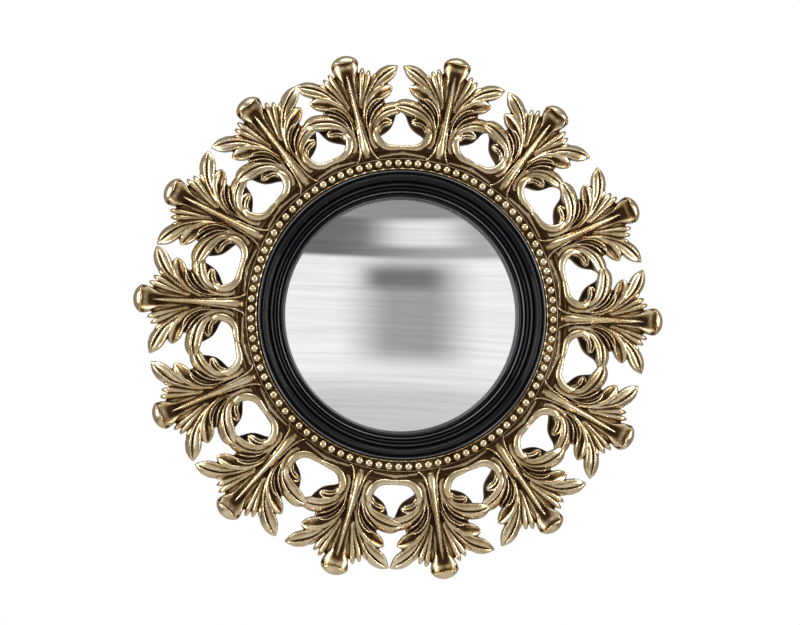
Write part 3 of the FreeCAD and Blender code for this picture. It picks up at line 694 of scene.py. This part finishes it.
# profiles are (radius, depth) points
RAIL_PROFILE = [
    (135.2, 4.4), (135.2, 29.4), (135.8, 30.0), (136.8, 29.7), (138.2, 29.0), (139.6, 28.9), (140.8, 29.4),
    *arc((141.0, 29.6), (145.9, 29.6), 1.8, 13),  # roll that the leaves stand on
    (146.1, 28.5), (145.6, 4.4)]
RAIL_SHADE = 0.35  # the rail lies in the shade of the leaves and beads, brown all round
SLIP_PROFILE = [
    (107.0, 19.9), (107.0, 15.4), (102.2, 16.8), (102.0, 17.4),
    *arc((102.1, 18.0), (105.4, 20.4), 2.2, 11), (105.8, 19.8),  # reeds, from the glass outwards
    *arc((106.2, 20.8), (108.0, 21.8), 1.5, 7), (108.3, 21.2),
    *arc((108.7, 22.6), (110.9, 24.2), 1.8, 9), (111.3, 23.4),
    *arc((111.7, 25.4), (114.2, 26.8), 2.2, 9), (114.7, 25.8), (115.1, 26.4),
    *arc((115.4, 28.0), (121.0, 30.2), 3.6, 19), (121.4, 29.4), (121.8, 29.4),  # torus
    *arc((122.0, 31.0), (124.2, 31.0), 1.1, 9), (124.3, 30.6), (124.3, 20)]  # outer fillet
# painted highlights on the arrises that catch the light: (radius, half width, strength)
PAINTED_HIGHLIGHT_RINGS = ((102.2, 0.4, 0.35), (106.6, 0.5, 0.5), (112.4, 0.7, 0.10), (118.9, 0.8, 0.07), (123.6, 0.6, 0.6))
BAND_PROFILE = [
    (124.7, 20), (124.7, 29.4), (125.0, 30.2), (125.8, 30.6), (126.6, 30.2), (127.0, 29.2), (127.6, 28.6),
    (133.4, 28.6), (134.0, 29.4), (134.3, 30.4), (134.8, 30.6), (135.1, 30.0), (135.1, 20)]
BEAD_COUNT = 96
BEAD_RADIUS = 3.4
BEAD_CIRCLE = 130.6
BEAD_DEPTH = 30.8


def painted_highlight(mesh):
    """How strong the painted highlight is at each vertex, from the arrises' radii in the table above."""
    place = read(mesh, "co")
    line = [(0, 0)]
    for radius, half_width, strength in PAINTED_HIGHLIGHT_RINGS:
        line += [(radius - half_width, 0), (radius, strength), (radius + half_width, 0)]
    return np.interp(np.hypot(place[:, 0], place[:, 2]), *zip(*line))


def make_beads():
    """The band with its ring of beads; the patina lies low between them."""
    rings = [(max(BEAD_RADIUS * math.sin(turn), 0.02), BEAD_DEPTH + BEAD_RADIUS * math.cos(turn))
             for turn in np.linspace(0, math.pi, 11)]
    bead = tube_of(disc(rings, 0, BEAD_CIRCLE, 20))
    parts = [lathe(BAND_PROFILE, 288)]
    parts += [clock(bead, 360 * k / BEAD_COUNT) for k in range(BEAD_COUNT)]
    mesh = outward(mesh_of("beads", *joined(parts), sharp=50))
    depth = -read(mesh, "co")[:, 1]
    store(mesh, "hollow", np.interp(depth, (28.6, 29.6, 30.8, 34.2), (0.32, 0.15, -0.28, -0.5)))
    return mesh


rail = outward(mesh_of("leaf_rail", *lathe(RAIL_PROFILE, 280), sharp=50))
store(rail, "hollow", np.full(len(rail.vertices), RAIL_SHADE))
new_piece("leaf_rail", rail, "gilding", "mirror")
slip = outward(mesh_of("slip", *lathe(SLIP_PROFILE, 360), sharp=55))
# pale rings of painted highlight on the slip's arrises
store(slip, "painted_highlight", painted_highlight(slip))
new_piece("reeded_slip_turned", slip, "ebonised_wood", "mirror", ["reeded_slip"])
new_piece("bead_course_carved", make_beads(), "gilding", "mirror", ["bead_course"])

# ---------------------------------------------------------------- glass

GLASS_RADIUS, GLASS_THICKNESS = 106.5, 3
FRONT_SPHERE, SPHERE_CENTRE = 365.4453, -334.4453  # radius of the front face, depth of its centre
GLASS_SIDES = 240


def dome(radius, sphere):
    """Depth of the glass's face at that distance from the axis."""
    return SPHERE_CENTRE + math.sqrt(sphere ** 2 - radius ** 2)


def make_glass():
    """The glass between two spheres about one centre."""
    radii = np.linspace(0.4, GLASS_RADIUS, 60)
    profile = [(r, dome(r, FRONT_SPHERE)) for r in radii]
    profile += [(r, dome(r, FRONT_SPHERE - GLASS_THICKNESS)) for r in radii[::-1]]
    verts, faces = lathe(profile, GLASS_SIDES, closed=False)
    starts = [side * len(profile) for side in range(GLASS_SIDES)]
    faces.append(tuple(starts))  # the small middle facets, front and back
    faces.append(tuple(start + len(profile) - 1 for start in starts)[::-1])
    return outward(mesh_of("glass", verts, faces, sharp=40))


new_piece("convex_glass_dome", make_glass(), "mirror_glass", "mirror", ["convex_glass"])

# ---------------------------------------------------------------- back hardware

PIVOT_RADIUS = 119                             # of the turn buttons
BAR_NEAR, BAR_FAR = 2.5, 4.0                   # depths of the bars' two faces
PLATE_NEAR, PLATE_FAR = 3.2, 4.0               # depths of the plate's two faces
PLATE_HALF_WIDTH, PLATE_TOP, PLATE_FOOT = 13.5, 123.3, 112.3
PLATE_SCREWS = ((-10, 117.8), (10, 117.8))
SHANK_RADIUS, SHANK_END = 1.22, 12.5
HEAD_RADIUS, HEAD_HEIGHT = 2.4, 1.1
DRIVE_HALF_WIDTH, DRIVE_DEPTH = 0.36, 0.45     # the slot across a screw's head
KNUCKLE_DEPTH, KNUCKLE_UP = 2, 125.13          # the loop's hinge
KNUCKLE_INNER, KNUCKLE_OUTER, KNUCKLE_HALF = 1.08, 1.83, 4
LOOP_HALF_WIDTH, LOOP_DROP, LOOP_CORNER = 5.6, 4.4, 1.2


def washer(half_width, top, foot, corner, near, far, bore, middle, bevel=0.25):
    """A flat bar with rounded corners, eased edges and a round hole, between two depths."""
    corners = ((half_width - corner, top - corner, 0), (half_width - corner, foot + corner, 90),
               (corner - half_width, foot + corner, 180), (corner - half_width, top - corner, 270))
    edge = np.array([(x + corner * math.sin(turn), z + corner * math.cos(turn)) for x, z, start in corners
                     for turn in np.radians(np.linspace(start, start + 90, 6))])
    middle = np.array(middle)
    turns = np.unwrap(np.arctan2(*(edge - middle).T))
    hole = middle + bore * np.stack([np.sin(turns), np.cos(turns)], 1)
    inner = edge + (middle - edge) * bevel / np.linalg.norm(edge - middle, axis=1)[:, None]
    loops = ((hole, near), (inner, near), (edge, near + bevel), (edge, far - bevel), (inner, far), (hole, far))
    return tube_of([np.stack([ring[:, 0], np.full(len(edge), -depth), ring[:, 1]], 1) for ring, depth in loops],
                   looped=True)


def screw(face, across, up, turn):
    """A round-headed screw, its head towards the wall with a slot across it."""
    swell = [(HEAD_RADIUS * math.cos(k), face - HEAD_HEIGHT * math.sin(k))
             for k in np.linspace(0, math.pi / 2 - 0.02, 12)]
    rings = disc([(SHANK_RADIUS, SHANK_END), (SHANK_RADIUS, face), (HEAD_RADIUS - 0.1, face), *swell],
                 across, up, 48)
    angle = math.radians(turn)
    for ring in rings[-len(swell):]:
        off = (ring[:, 0] - across) * math.cos(angle) + (ring[:, 2] - up) * math.sin(angle)
        cut = np.abs(off) < DRIVE_HALF_WIDTH
        ring[cut, 1] = np.minimum(ring[cut, 1], -(face - DRIVE_DEPTH))
    return tube_of(rings)


def make_plate():
    """The hanging plate, with its knuckle rolled round the loop's wire."""
    half = PLATE_HALF_WIDTH / 2
    parts = []
    for across, up in PLATE_SCREWS:
        shift = half if across > 0 else -half
        verts, faces = washer(half, PLATE_TOP, PLATE_FOOT, corner=0.8, near=PLATE_NEAR, far=PLATE_FAR,
                              bore=1.5, middle=(across - shift, up), bevel=0.12)
        parts.append((verts + np.array((shift, 0, 0)), faces))
    around = np.linspace(math.radians(-78), math.radians(262), 40)
    ring = [(KNUCKLE_OUTER, a) for a in around] + [(KNUCKLE_INNER, a) for a in around[::-1]]
    parts.append(tube_of([np.array([(x, r * math.cos(a) - KNUCKLE_DEPTH, KNUCKLE_UP + r * math.sin(a))
                                    for r, a in ring]) for x in (-KNUCKLE_HALF, KNUCKLE_HALF)]))
    tongue = [(-KNUCKLE_HALF, 122.6), (KNUCKLE_HALF, 122.6), (KNUCKLE_HALF, 124.4), (-KNUCKLE_HALF, 124.4)]
    parts.append(tube_of([np.array([(x, -depth, z) for x, z in tongue]) for depth in (PLATE_NEAR, PLATE_FAR)]))
    return joined(parts)


def make_loop():
    """A closed wire loop, 2 mm thick: its axle runs in the knuckle and its bow hangs below."""
    path = [(LOOP_HALF_WIDTH * math.cos(a), KNUCKLE_UP - LOOP_DROP + LOOP_HALF_WIDTH * math.sin(a))
            for a in np.linspace(0, -math.pi, 25)]
    for side, start in ((-1, math.pi), (1, math.pi / 2)):
        across = side * (LOOP_HALF_WIDTH - LOOP_CORNER)
        path += [(across + LOOP_CORNER * math.cos(a), KNUCKLE_UP - LOOP_CORNER + LOOP_CORNER * math.sin(a))
                 for a in np.linspace(start, start - math.pi / 2, 7)]
    path = np.array(path)
    along = np.roll(path, -1, axis=0) - np.roll(path, 1, axis=0)
    along /= np.linalg.norm(along, axis=1)[:, None]
    around = np.linspace(0, 2 * math.pi, 16, endpoint=False)
    rings = [np.stack([x + np.cos(around) * up, np.sin(around) - KNUCKLE_DEPTH, z - np.cos(around) * across], 1)
             for (x, z), (across, up) in zip(path, along)]
    return tube_of(rings, looped=True)


def hardware_piece(name, part, slot, body, node_name):
    new_piece(name, outward(mesh_of(name, *part, sharp=40)), slot, body, [node_name])


screws = []
for number, turn in enumerate(BUTTON_TURNS, start=1):
    bar = washer(4, PIVOT_RADIUS + 4, PIVOT_RADIUS - 16, corner=2, near=BAR_NEAR, far=BAR_FAR, bore=1.55,
                 middle=(0, PIVOT_RADIUS))
    hardware_piece(f"turn_button_{number}_bar", clock(bar, turn), "brass_fittings",
                   f"turn_button_{number}", f"turn_button_{number}")
    angle = math.radians(turn)
    screws.append(screw(BAR_NEAR, PIVOT_RADIUS * math.sin(angle), PIVOT_RADIUS * math.cos(angle),
                        20 + 50 * (number - 1)))
screws += [screw(PLATE_NEAR, *spot, 35 + 80 * k) for k, spot in enumerate(PLATE_SCREWS)]
hardware_piece("back_screws_driven", joined(screws), "brass_fittings", "mirror", "back_screws")
hardware_piece("hanger_plate_rolled", make_plate(), "zinced_steel", "mirror", "hanger_plate")
hardware_piece("hanging_loop_wire", make_loop(), "zinced_steel", "hanging_loop", "hanging_loop")

# ---------------------------------------------------------------- studio


def make_world():
    """A white studio: white behind the object, two soft sides and a blurred room in front."""
    world = bpy.data.worlds.new("studio")
    bpy.context.scene.world = world
    world.use_nodes = True
    tree = world.node_tree
    tree.nodes.clear()
    way = node(tree, "SeparateXYZ", {0: node(tree, "TexCoord").outputs["Generated"]})
    x, y, z = way.outputs
    azimuth = sums(tree, "MULTIPLY", sums(tree, "ARCTAN2", x, sums(tree, "MULTIPLY", y, -1)), 180 / math.pi)
    height = sums(tree, "MULTIPLY", sums(tree, "ARCSINE", z), 180 / math.pi)

    def band(value, low, high, soft):
        """1 between the two angles and 0 beyond them, with soft edges."""
        return sums(tree, "MULTIPLY", step(tree, value, low - soft, low + soft),
                    step(tree, value, high - soft, high + soft, 1, 0))

    def mixed(share, first, second):
        return node(tree, "Mix", {0: share, 2: first, 3: second}).outputs[0]

    def patch(under, across, up, brightness, share=1.0):
        """A soft-edged patch over the room: across and up are (low, high, softness) in degrees."""
        spot = sums(tree, "MULTIPLY", band(azimuth, *across), band(height, *up))
        return mixed(sums(tree, "MULTIPLY", spot, share), under, brightness)

    room = mixed(band(height, -26, 20.5, 2), 0.5, 0.88)      # bright wall
    room = mixed(step(tree, height, -12, -24), room, 0.60)   # falls towards the floor
    room = patch(room, (-6, 23.5, 10), (-11, 20, 5), 0.33, 0.95)
    room = patch(room, (-5, 17, 5), (11, 17, 2), 0.19)
    ceiling = mixed(step(tree, azimuth, -22, 30), 0.16, 0.42)
    ceiling = mixed(step(tree, height, 32, 34), ceiling, 0.30)
    room = mixed(step(tree, height, 20, 21.5), room, ceiling)
    room = patch(room, (0, 25, 9), (24, 32.5, 1.2), 0.78)
    room = patch(room, (38, 56, 4), (22, 29, 2), 0.7)
    streak = node(tree, "CombineXYZ", {0: sums(tree, "MULTIPLY", azimuth, 0.02),
                                       1: sums(tree, "MULTIPLY", height, 0.8)}).outputs[0]
    room = sums(tree, "MULTIPLY", room, sums(tree, "MULTIPLY_ADD", noise(tree, streak, 1.0, 3), 0.5, 0.75))
    # beyond what the glass shows, the room is dark to the sides and bright overhead
    room = mixed(band(azimuth, -50, 52, 6), 0.07, room)
    room = mixed(step(tree, height, 40, 55), room, 0.75)
    room = mixed(step(tree, height, -40, -55), room, 0.22)
    room = mixed(step(tree, y, -0.15, 0.15), room, 0.3)      # behind the object
    path = node(tree, "LightPath").outputs
    clear = sums(tree, "ADD", path["Is Glossy Ray"], path["Is Transmission Ray"], clamp=True)
    seen, studio, fill = (node(tree, "Background", {"Color": (1, 1, 1, 1), "Strength": strength}).outputs[0]
                          for strength in (1.0, room, 0.3))
    lit = node(tree, "MixShader", {0: clear, 1: fill, 2: studio}).outputs[0]
    shown = node(tree, "MixShader", {0: path["Is Camera Ray"], 1: lit, 2: seen}).outputs[0]
    node(tree, "OutputWorld", {"Surface": shown})


def softbox(name, place, width, height, power):
    """An area lamp, in metres and watts, turned towards the object."""
    data = bpy.data.lights.new(name, "AREA")
    data.shape = "RECTANGLE"
    data.size, data.size_y = width, height
    data.energy = power
    lamp = bpy.data.objects.new(name, data)
    lamp.location = place
    lamp.rotation_euler = (-Vector(place)).to_track_quat("-Z", "Y").to_euler()
    bpy.context.scene.collection.objects.link(lamp)


FLOOR_HALF, FLOOR_UP = 1, -0.9


def make_floor():
    """A pale floor, well below the object."""
    corners = [(x * FLOOR_HALF, y * FLOOR_HALF, FLOOR_UP) for x, y in ((-1, -1), (1, -1), (1, 1), (-1, 1))]
    mesh = mesh_of("floor", corners, [(0, 1, 2, 3)])
    floor = bpy.data.objects.new("floor", mesh)
    bpy.context.scene.collection.objects.link(floor)
    made, tree, shader, place = new_material("pale_floor")
    colour = blend(tree, noise(tree, place, 3), (0.80, 0.80, 0.80), (0.84, 0.84, 0.84))
    wire(tree, shader, Base_Color=colour, Roughness=0.85)
    mesh.materials.append(made)


make_world()
softbox("left_strip", (-1.7, -0.75, 0.25), 0.3, 1.6, 27)
softbox("right_strip", (1.7, -0.75, 0.25), 0.3, 1.6, 27)
softbox("top_strip", (0.0, -0.5, 1.8), 1.4, 0.3, 13)
make_floor()
